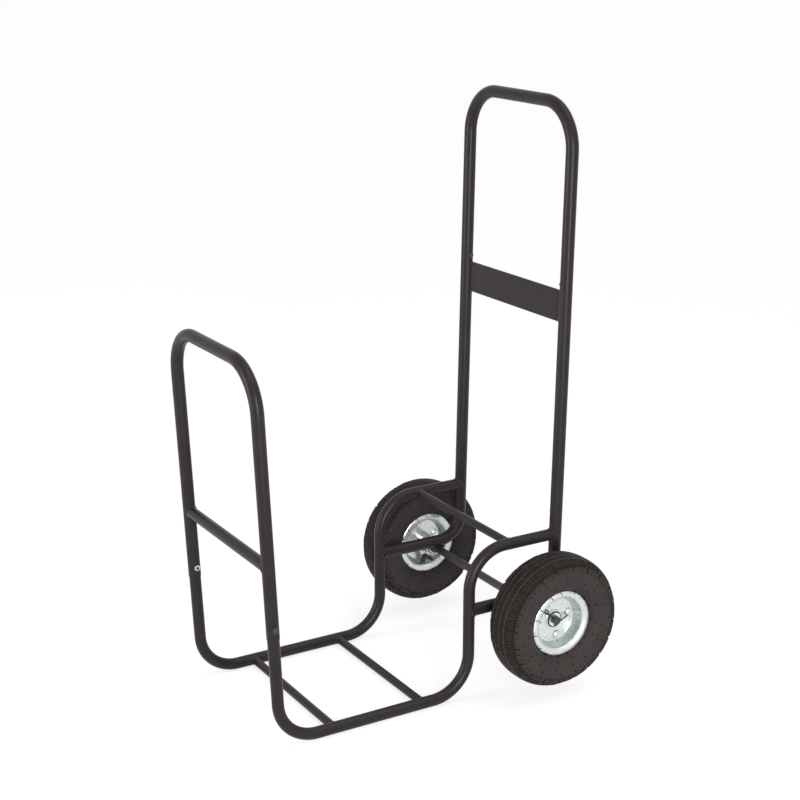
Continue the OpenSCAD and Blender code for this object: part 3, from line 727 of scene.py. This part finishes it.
def wire(bm, points, radius):
    """A round wire along a line of points, with flat ends."""
    points = [Vector(p) for p in points]
    heading = (points[1] - points[0]).normalized()
    ring = open_ring(bm, points[0], heading, radius, 10)
    bmesh.ops.edgeloop_fill(bm, edges=ring)
    for i in range(1, len(points)):
        step = points[i] - points[i - 1]
        ring = grown(bm, ring, step)
        after = points[i + 1] if i + 1 < len(points) else points[i]
        ahead = ((after - points[i]).normalized() + step.normalized()).normalized()
        verts = list({v for e in ring for v in e.verts})
        turn = heading.rotation_difference(ahead).to_matrix().to_4x4()
        bmesh.ops.transform(bm, matrix=turn, space=Matrix.Translation(-points[i]), verts=verts)
        heading = ahead
    bmesh.ops.edgeloop_fill(bm, edges=ring)


def cotter_lines():
    """The two halves of a split pin, in a wheel's frame with its shank along the cart's Z."""
    low = AXLE_R + 1.6
    loop = [(-3.45 * sin(a), 29.9 - 5.5 * cos(a)) for a in range(15, 346, 15)]
    long_leg = [(PIN_HALF, 23.0), (PIN_HALF, 1.5 - low), (PIN_HALF + 1.4, -low - 0.9),
                (PIN_HALF + 22.0, -17.9)]
    short_leg = [(-PIN_HALF, 23.0), (-PIN_HALF, 1.5 - low), (-PIN_HALF - 1.2, -low - 0.4),
                 (-PIN_HALF - 9.0, -low + 1.6)]
    return [[(PIN_AT, *spot) for spot in line] for line in (loop + long_leg, loop[:1] + short_leg)]


class LOGCART_OT_axle_parts(bpy.types.Operator):
    """Make the axle with its chamfered ends, and the split pins that hold the wheels"""
    bl_idname = "logcart.axle_parts"
    bl_label = "Axle and pins"

    def execute(self, context):
        half = [(AXLE_HALF - AXLE_EDGE, AXLE_R), (AXLE_HALF, AXLE_R - AXLE_EDGE), (AXLE_HALF, 0)]
        bm = turned_part([(-x, r) for x, r in reversed(half)] + half, 48)
        bmesh.ops.translate(bm, vec=(0, shift(AXLE_Y), AXLE_Z), verts=bm.verts)
        piece("axle_rod", bm, "drawn_steel", "frame", ["axle"])
        bm = bmesh.new()
        for line in cotter_lines():
            wire(bm, line, PIN_WIRE_R)
        bm = at_places(bm, [wheel_place(sign) @ around(0, PIN_TURN) for sign in SIDES.values()])
        piece("split_pins", bm, "black_oxide", "frame", ["cotter_pins"])
        return {"FINISHED"}


def dome_head(diameter, height, edge=0.8):
    """Profile of a low domed bolt head that sits on x = 0."""
    r = diameter / 2
    return [(0, 0), (0, r - 0.3), (0.3, r), (height * 0.45, r), (height * 0.8, r - edge),
            (height * 0.95, r - 2.2 * edge), (height, r * 0.35), (height, 0)]


def hex_nut(across, height, bore, edge=0.7, slope=0.6):
    """A chamfered hexagonal nut along X, from x = 0."""
    bm = bmesh.new()
    axis, wide = Vector((1, 0, 0)), across / math.sqrt(3)
    first = ring = open_ring(bm, Vector(), axis, wide - edge, 6)
    hole = open_ring(bm, Vector(), axis, bore / 2, 24)
    for rise, factor in ((slope, wide / (wide - edge)), (height - 2 * slope, 1.0),
                         (slope, (wide - edge) / wide)):
        ring = grown(bm, ring, axis * rise, factor)
    far = grown(bm, hole, axis * height)
    bmesh.ops.bridge_loops(bm, edges=first + hole)
    bmesh.ops.bridge_loops(bm, edges=ring + far)
    return bm


class LOGCART_OT_fasteners(bpy.types.Operator):
    """Make the hoop's bolts and nuts with their shaped heads"""
    bl_idname = "logcart.fasteners"
    bl_label = "Frame bolts"

    def execute(self, context):
        places = []
        for sign in SIDES.values():
            spot = HOOP.point((sign * HALF_FRAME, HOOP_JOINT + BOLT_UP))
            out = Vector((sign, 0, 0))
            turn = Matrix((out, HOOP.up.cross(out), HOOP.up)).transposed().to_4x4()
            places.append(Matrix.Translation(spot) @ turn)
        seat, top = MAIN_R - 0.1, MAIN_R + 0.9
        bm = turned_part([(top + x, r) for x, r in dome_head(11.4, 3.1)], 32)
        lathe(bm, [(seat, 3.2), (seat, 6.9), (top, 6.9), (top, 3.2)], 32, True)
        lathe(bm, [(-19, 0), (-19, 2.6), (-18.5, 3.0), (13, 3.0), (13, 0)], 20)
        piece("hoop_bolt_heads", at_places(bm, places), "black_oxide", "frame",
              ["hoop_bolts"])
        bm = hex_nut(10.0, 5.0, 6.2)
        bmesh.ops.translate(bm, vec=(-17.0, 0, 0), verts=bm.verts)
        piece("hoop_bolt_nuts", at_places(bm, places), "bright_zinc", "frame",
              ["hoop_nuts"])
        return {"FINISHED"}


# ----- Tyres -----

HALF_W = 42.5
MID_R = 92.0
TYRE_R = 130.0
CROWN_POWER = 2.8
WALL_DROP = 31.6
WALL_POWER = 2.45
BEAD_LOW = 64.5
TREAD_DEPTH = 3.4
TREAD_R = 122.0
GROOVES_S = 50.0
CARCASS_SEGMENTS = 144
# Radius, phase, lean, share of the length, outwards, stray
HAIR_RINGS = ((98.0, 93.5, 4, 1.0, 0.25, 0.5), (86.0, 88.0, -6, 1.0, 0.25, 0.5),
              (74.0, 68.0, 8, 1.0, 0.25, 0.5), (66.6, 92.5, 0, 2.2, -0.85, 0.15))


def crown_table(step=0.5):
    """(arc length from the tread's middle, x, radius, normal x, normal radius) over half a crown."""
    rows, length, last = [], 0.0, None
    for i in range(int(90 / step) + 1):
        c, s = max(sin(i * step), 0.0), max(cos(i * step), 0.0)
        spot = Vector((HALF_W * c ** (2 / CROWN_POWER),
                       MID_R + (TYRE_R - MID_R) * s ** (2 / CROWN_POWER)))
        if last is not None:
            length += (spot - last).length
        rows.append([length, spot[0], spot[1], 0.0, 1.0])
        last = spot
    for i, row in enumerate(rows):
        a, b = rows[max(i - 1, 0)], rows[min(i + 1, len(rows) - 1)]
        along = Vector((b[1] - a[1], b[2] - a[2])).normalized()
        row[3], row[4] = -along[1], along[0]
    return rows


def on_crown(table, s):
    """x, radius and normal at an arc length from the middle, either side."""
    sign, s = (-1, -s) if s < 0 else (1, s)
    a, b = next((pair for pair in zip(table, table[1:]) if s <= pair[1][0]), table[-2:])
    t = min((s - a[0]) / (b[0] - a[0]), 1.0)
    x, r, nx, nr = (a[k] + (b[k] - a[k]) * t for k in range(1, 5))
    return sign * x, r, sign * nx, nr


def slab(bm, u0, u1, s0, s1, top, foot, edge, cuts, skew=0.0, panel=None, painted_light_and_wear_amount=1.0):
    """A bevelled tread block in flat coordinates, open below. panel sinks its middle:
    (margin, slope, depth). Painted highlight with scuffing lightens only the margin and upper edges."""
    layer = bm.verts.layers.float["painted_light_and_wear_amount"]
    before = set(bm.verts)
    made = bmesh.ops.create_grid(bm, x_segments=cuts[0], y_segments=cuts[1], size=0.5)
    for v in made["verts"]:
        u = u0 + (v.co.x + 0.5) * (u1 - u0)
        s = s0 + (v.co.y + 0.5) * (s1 - s0)
        v.co = Vector((u + skew * (s - s0), s, top))
    faces = list({f for v in made["verts"] for f in v.link_faces})
    for thickness in panel[:2] if panel else ():
        bmesh.ops.inset_region(bm, faces=faces, thickness=thickness, depth=0, use_even_offset=True)
    rim = {e for v in set(bm.verts) - before for e in v.link_edges if e.is_boundary}
    ring = grown_flat(bm, list(rim), edge, -edge * 0.7)
    for v in set(bm.verts) - before:
        v[layer] = painted_light_and_wear_amount
    if panel:
        middle = {v for f in faces for v in f.verts}
        bmesh.ops.translate(bm, vec=(0, 0, -panel[2]), verts=list(middle))
        for v in middle:
            v[layer] = 0.0
    foot_ring = grown_flat(bm, ring, 0.25 * (top - foot), foot - top + edge * 0.7)
    for v in {v for e in foot_ring for v in e.verts}:
        v[layer] = 0.0


def grown_flat(bm, edges, spread_by, down):
    """Extrudes a flat outline outwards and down."""
    verts = {v for e in edges for v in e.verts}
    centre = middle_of(verts)
    half = [(max(v.co[k] for v in verts) - min(v.co[k] for v in verts)) / 2 for k in (0, 1)]
    new, ring = extruded(bm, edges)
    for v in new:
        for k in (0, 1):
            v.co[k] += spread_by * max(-1, min(1, (v.co[k] - centre[k]) / half[k]))
        v.co.z += down
    return ring


def tread(pitches, phase):
    """The raised rubber of a tyre: five rows of blocks, of which the outer two are panelled and
    ribbed, and a comb of teeth on each shoulder. It is made flat, u along the tyre, s across and
    then the height, and wrapped onto the crown."""
    bm = bmesh.new()
    bm.verts.layers.float.new("painted_light_and_wear_amount")
    pitch = math.tau / pitches
    span = TREAD_R * pitch
    face, rim = (-0.3, -TREAD_DEPTH, 0.4), (0.9, 0.3, 0.25)
    # Each block takes the lighter edge colour, painted highlight with scuffing, by its last value, 1
    # unless given.
    slab(bm, 1.5, span - 1.5, -6.0, 6.0, *face, (5, 3), panel=rim)
    for sign in (-1, 1):
        before = set(bm.verts)
        half = span / 2 if sign > 0 else 0.0
        slab(bm, half + 1.7, half + span - 1.7, 8.6, 19.4, *face, (5, 4), panel=rim)
        slab(bm, 2.5, span - 2.5, 22.0, 40.6, *face, (5, 4), panel=(1.6, 0.5, 1.6))
        slab(bm, 2.5, span - 2.5, 43.8, 51.6, 0.2, -0.6, 0.3, (5, 3), painted_light_and_wear_amount=0.1)
        slab(bm, 2.5, span - 2.5, 42.7, 43.9, 1.4, -0.6, 0.3, (5, 2), painted_light_and_wear_amount=0.15)
        for count, first, wide, s0, s1, top, foot, edge, skew, painted_light_and_wear_amount in (
                (4, 6.6, 0.9, 25.4, 37.4, -1.1, -1.9, 0.25, 0.1, 0.2),
                (6, 4.9, 1.5, 44.8, 51.2, 2.0, -0.2, 0.4, 0.12, 0.4)):
            for k in range(count):
                at = first + k * (span - 2 * first) / (count - 1)
                slab(bm, at - wide, at + wide, s0, s1, top, foot, edge, (2, 3), skew * (-1) ** k,
                     None, painted_light_and_wear_amount)
        if sign < 0:
            side = set(bm.verts) - before
            for v in side:
                v.co.y = -v.co.y
            bmesh.ops.reverse_faces(bm, faces=list({f for v in side for f in v.link_faces}))
    table = crown_table()
    for v in bm.verts:
        u, s, h = v.co
        x, r, nx, nr = on_crown(table, s)
        angle, radius = u / TREAD_R, r + nr * h
        v.co = Vector((x + nx * h, radius * math.cos(angle), radius * math.sin(angle)))
    bmesh.ops.rotate(bm, cent=(0, 0, 0), matrix=Matrix.Rotation(math.radians(phase), 3, "X"),
                     verts=bm.verts)
    bmesh.ops.spin(bm, geom=bm.verts[:] + bm.edges[:] + bm.faces[:], cent=(0, 0, 0),
                   axis=(1, 0, 0), angle=pitch * (pitches - 1), steps=pitches - 1,
                   use_duplicate=True)
    return bm


def sidewall(r):
    """Half width of the carcass at a radius under its widest part."""
    return HALF_W * max(1 - ((MID_R - r) / WALL_DROP) ** WALL_POWER, 0.0) ** (1 / WALL_POWER)


def tyre_profile():
    """Closed section of the carcass, (x, radius), without the tread's blocks."""
    right = []
    for s, x, r, nx, nr in crown_table(3.0):
        sink = TREAD_DEPTH * max(0.0, min(1.0, (43.5 - s) / 3.5))
        right.append((x - nx * sink * (s > 0), r - nr * sink))
    for i in range(1, 15):
        r = MID_R - (MID_R - BEAD_LOW) * sin(90 * i / 14)
        right.append((sidewall(r), r))
    right += [(27.3, BEAD_LOW - 1.0), (27.3, 54.1), (25.4, 52.2), (19.5, 52.2),
              (24.0, MID_R - 29.0 * sin(80))]
    for turn in (57.5, 35.0, 12.5, -10.0, -32.5, -55.0, -77.5):
        right.append((38.5 * cos(turn), MID_R - (27.0 if turn < 0 else 29.0) * sin(turn)))
    return right + [(-x, r) for x, r in reversed(right) if x > 0.01]


def carcass():
    """The smooth body of a tyre, with the floor between its tread blocks marked for painted shade."""
    bm = turned_part(tyre_profile(), CARCASS_SEGMENTS, True)
    groove_edge = on_crown(crown_table(), GROOVES_S)[1]
    mark_painted_shade(bm, lambda spot: math.hypot(spot.y, spot.z) > groove_edge)
    return bm


def hairs(count, length):
    """Moulded rubber vent hairs in rings on both sidewalls."""
    bm = bmesh.new()
    for sign in (-1, 1):
        for ring, (radius, phase, tilt, share, outwards, stray) in enumerate(HAIR_RINGS):
            for i in range(count):
                angle = phase + i * 360 / count + ((i * 7 + ring * 3) % 5 - 2) * 1.6
                r = radius + ((i * 5 + ring * 2) % 7 - 3) * stray
                x = sidewall(r) if r < MID_R else HALF_W - 0.15
                root = Vector((sign * (x - 0.3), r * cos(angle), r * sin(angle)))
                lean = angle + tilt * (i % 3 - 1)
                aim = Vector((sign, cos(lean) * outwards, sin(lean) * outwards)).normalized()
                place = Matrix.Translation(root + aim * length * share / 2) @ turn_to(aim)
                bmesh.ops.create_cone(bm, cap_ends=True, segments=5, radius1=0.95, radius2=0.65,
                                      depth=length * share, matrix=place)
    return bm


class LOGCART_OT_tyres(bpy.types.Operator):
    """Make the tyres: carcass, tread blocks, shoulder teeth and vent hairs"""
    bl_idname = "logcart.tyres"
    bl_label = "Tyres"

    def execute(self, context):
        look, slot = context.scene.logcart_tyre, "tyre_rubber"
        for side in SIDES:
            wheel_piece("tyre_carcass", carcass(), side, "carcass_rubber", "tyre")
            wheel_piece("tyre_tread", tread(look.pitches, look.phase), side, "tread_rubber",
                        sharp=25)
            wheel_piece("vent_hairs", hairs(look.hairs, look.hair_length / MM), side, "hair_rubber")
        return {"FINISHED"}


# ----- Rims -----

RIM_T = 2.0
BARREL_X = (3.0, 25.1)
RIM_BOLTS_R = 34
HUB_R = 18.05
# Profiles of (x, radius)
BOLT_HEAD = ((0, 0), (0, 6.7), (0.3, 7.0), (2.5, 7.0), (3.3, 6.4), (3.5, 5.7), (3.2, 5.0), (3.2, 4.4),
             (3.75, 3.7), (4.0, 2.4), (4.0, 0))
BOLT_SHANK = ((-10.5, 0), (-10.5, 3.4), (-10.0, 4.0), (RIM_T, 4.0), (RIM_T, 0))
# A thin dark disc that paints the shade inside a drain hole, in place of a hole.
DRAIN_HOLE_SHADE = ((-0.3, 0), (-0.3, 1.65), (0.06, 1.65), (0.06, 0))


def rim_profile():
    """Closed section of half a rim: x outboard from the wheel's middle, radius."""
    open_face = [(RIM_T, HUB_R), (RIM_T, 43.4)]
    open_face += [(3.2 - 1.2 * cos(a), 43.4 + 1.2 * sin(a)) for a in (25, 50, 76)]
    open_face += [(10.0, 46.27), (18.0, 48.3), (25.0, 50.07), (25.55, 50.5)]
    for i in range(13):
        r = 51.2 + i * (63.9 - 51.2) / 12
        x = 29.5 - (3.6 * ((r - 58) / 6.8) ** 2 if r < 58 else 1.9 * ((r - 58) / 6) ** 2)
        open_face.append((x - (0.35 if 59 < r < 60.2 else 0), r))
    open_face += [(27.0, 63.98), (26.6, 63.4), (26.7, 62.6)]
    tyre_face = [(27.4, 61.6), (27.5, 55.0), (26.6, 53.0), (25.2, 52.1), (18.0, 50.4), (2.0, 46.4),
                 (0.6, 45.9), (0.0, 44.5), (0.0, HUB_R)]
    return open_face + tyre_face


def dome(radius, height):
    """A low pressed dome on the plane x = 0."""
    profile = [(height * cos(turn), radius * sin(turn)) for turn in (0, 22.5, 45, 67.5, 90)]
    return turned_part(profile + [(-0.3, radius), (-0.3, 0)], 14)


class LOGCART_OT_rims(bpy.types.Operator):
    """Make the rim halves, hub welds, bearing seals and rim bolts"""
    bl_idname = "logcart.rims"
    bl_label = "Rims"

    def execute(self, context):
        look = context.scene.logcart_wheel
        domes = [around(35, angle, RIM_T) for angle in (60, 150, 240, 330)]
        bolts = [around(RIM_BOLTS_R, look.bolt_turn + 90 * k) for k in range(4)]
        drain = around(45.76, -81, 8) @ Matrix.Rotation(math.radians(-75.8), 4, "Z")
        for side in SIDES:
            for half, facing in (("outer", 1), ("inner", -1)):
                bm = at_places(dome(2.8, 0.7), domes if facing > 0 else ())
                lathe(bm, rim_profile(), look.rim_segments, True)
                # Painted shade: the barrel between the disc and the flange is marked for the darker
                # zinc.
                mark_painted_shade(bm, lambda spot: BARREL_X[0] < spot.x < BARREL_X[1])
                bmesh.ops.scale(bm, vec=(facing, 1, 1), verts=bm.verts)
                wheel_piece(f"rim_half_{half}", bm, side, "rim_plating",
                            f"rim_{half}", 40)
            bm = bmesh.new()
            for facing in (1, -1):
                bead = [(facing * (RIM_T + 0.9 * sin(a)), 18.2 + 0.9 * cos(a))
                        for a in range(0, 360, 45)]
                lathe(bm, bead, 72, True)
            wheel_piece("hub_welds", bm, side, "rim_plating", sharp=50)
            bm = bmesh.new()
            for x0, x1 in ((4.6, 5.12), (-54.42, -53.9)):
                lathe(bm, [(x0, 10.6), (x0, 15.95), (x1, 15.95), (x1, 10.6)], 48, True)
            wheel_piece("bearing_seals", bm, side, "seal_rubber_and_hole_shade")
            bm = turned_part([(RIM_T + x, r) for x, r in BOLT_HEAD], 32)
            lathe(bm, BOLT_SHANK, 20)
            wheel_piece("rim_bolt_heads", at_places(bm, bolts), side, "bright_zinc",
                        "rim_bolts")
            # Painted shade: thin dark rings round the feet of the rim bolt heads.
            low, high = RIM_T - 0.2, RIM_T + 0.5
            bm = turned_part([(low, 7.02), (low, 7.7), (high, 7.7), (high, 7.02)], 32, True)
            wheel_piece("rim_bolt_shade_rings", at_places(bm, bolts), side, "painted_shade_zinc")
            # Painted shade: a thin dark disc, proud of the barrel, stands in for the inside of a
            # drain hole.
            bm = at_places(turned_part(DRAIN_HOLE_SHADE, 20), [drain])
            wheel_piece("drain_hole_shade", bm, side, "seal_rubber_and_hole_shade")
        return {"FINISHED"}


# ----- Stage, in metres -----

WHITE = (1, 1, 1, 1)
FLOOR_HALF = 60.0
FLOOR_WHITE = 1.17
LAMP_TARGET = (0, 0, 0.5)
# Place, width and height of the tall lamps
LAMPS = {"key": ((3.3, -0.9, 1.0), (0.7, 2.0)), "fill": ((-0.7, -3.2, 1.0), (1.0, 2.0))}
TOP_FROM = (0.25, 0.3, 1)
TOP_ANGLE = 50
CAMERA_AT = (2.5705, -1.4978, 1.4521)
CAMERA_AXES = ((0.51226, 0.85883, 0), (-0.24625, 0.14688, 0.95801), (0.82277, -0.49075, 0.28673))
LENS = 74.49


def seen_white(tree, plain, level, kind, strength, end):
    """Ends a tree in a shader that is white, as far as the level says, where the camera, a
    reflection or glass sees it, and plain for every other ray."""
    path = tree.nodes.new("ShaderNodeLightPath").outputs
    seen = math_node(tree, "MAXIMUM", path["Is Camera Ray"],
                     math_node(tree, "MAXIMUM", path["Is Glossy Ray"], path["Is Transmission Ray"]))
    white = new_node(tree, kind, {"Color": WHITE, "Strength": strength})
    share = math_node(tree, "MULTIPLY", seen, level)
    blend = new_node(tree, "ShaderNodeMixShader", {0: share, 1: plain, 2: white.outputs[0]})
    tree.links.new(blend.outputs[0], tree.nodes[end].inputs["Surface"])


def lamp(name, kind, from_where, aim, **settings):
    """A lamp that shines from a place against a direction."""
    data = bpy.data.lights.new(name, kind)
    for label, value in settings.items():
        setattr(data, label, value)
    obj = linked(name, data)
    obj.location = from_where
    obj.rotation_euler = Vector(aim).to_track_quat("Z", "Y").to_euler()
    obj.visible_camera = False


class LOGCART_OT_stage(bpy.types.Operator):
    """Make the floor, the lamps, the white surroundings and the camera"""
    bl_idname = "logcart.stage"
    bl_label = "Stage"

    def execute(self, context):
        scene, look = context.scene, context.scene.logcart_stage
        bm = bmesh.new()
        bmesh.ops.create_grid(bm, x_segments=1, y_segments=1, size=FLOOR_HALF)
        floor = linked("floor", baked("floor", bm))
        material = bpy.data.materials.new("pale_floor")
        material.use_nodes = True
        tree = material.node_tree
        tree.nodes.remove(tree.nodes["Principled BSDF"])
        matt = new_node(tree, "ShaderNodeBsdfDiffuse", {"Color": (*look.floor, 1)})
        seen_white(tree, matt.outputs[0], 1.0 - look.shadow, "ShaderNodeEmission", FLOOR_WHITE,
                   "Material Output")
        floor.data.materials.append(material)
        scene.world = bpy.data.worlds.new("surroundings")
        scene.world.use_nodes = True
        tree = scene.world.node_tree
        ambient = tree.nodes["Background"]
        ambient.inputs["Color"].default_value = WHITE
        ambient.inputs["Strength"].default_value = look.ambient
        seen_white(tree, ambient.outputs[0], 1.0, "ShaderNodeBackground", 1.0, "World Output")
        for name, (where, (width, height)) in LAMPS.items():
            lamp(f"{name}_lamp", "AREA", where, Vector(where) - Vector(LAMP_TARGET),
                 shape="RECTANGLE", size=width, size_y=height, energy=getattr(look, name))
        lamp("top_light", "SUN", (0, 0, 0), TOP_FROM, energy=look.top, angle=math.radians(TOP_ANGLE))
        data = bpy.data.cameras.new("camera")
        data.lens, data.sensor_width = LENS, 36.0
        data.clip_start, data.clip_end = 0.05, 200.0
        scene.camera = linked("camera", data)
        scene.camera.matrix_world = Matrix.Translation(CAMERA_AT) \
            @ Matrix(CAMERA_AXES).transposed().to_4x4()
        scene.view_settings.view_transform = "Standard"
        return {"FINISHED"}


# ----- Panel and registration -----

PIECE_OPERATORS = (LOGCART_OT_finishes, LOGCART_OT_bent_tubes, LOGCART_OT_welds,
                   LOGCART_OT_axle_parts, LOGCART_OT_fasteners, LOGCART_OT_tyres,
                   LOGCART_OT_rims, LOGCART_OT_stage)
GROUPS = {"logcart_frame": FrameFinish, "logcart_tyre": TyreFinish, "logcart_wheel": WheelFinish,
          "logcart_stage": StageLook}


class LOGCART_PT_panel(bpy.types.Panel):
    """Sizes, colours and steps of the log cart's looks"""
    bl_idname = "LOGCART_PT_panel"
    bl_label = "Log Cart"
    bl_space_type = "VIEW_3D"
    bl_region_type = "UI"
    bl_category = "Log Cart"

    def draw(self, context):
        for name, group in GROUPS.items():
            box = self.layout.box()
            box.label(text=group.__doc__)
            for field in group.__annotations__:
                box.prop(getattr(context.scene, name), field)
        for operator in PIECE_OPERATORS:
            self.layout.operator(operator.bl_idname)


CLASSES = (*GROUPS.values(), *PIECE_OPERATORS, LOGCART_PT_panel)


def register():
    for cls in CLASSES:
        bpy.utils.register_class(cls)
    for name, group in GROUPS.items():
        setattr(bpy.types.Scene, name, bpy.props.PointerProperty(type=group))


def unregister():
    for name in GROUPS:
        delattr(bpy.types.Scene, name)
    for cls in reversed(CLASSES):
        bpy.utils.unregister_class(cls)


def main():
    register()
    for operator in PIECE_OPERATORS:
        family, action = operator.bl_idname.split(".")
        getattr(getattr(bpy.ops, family), action)()


if __name__ == "__main__":
    main()
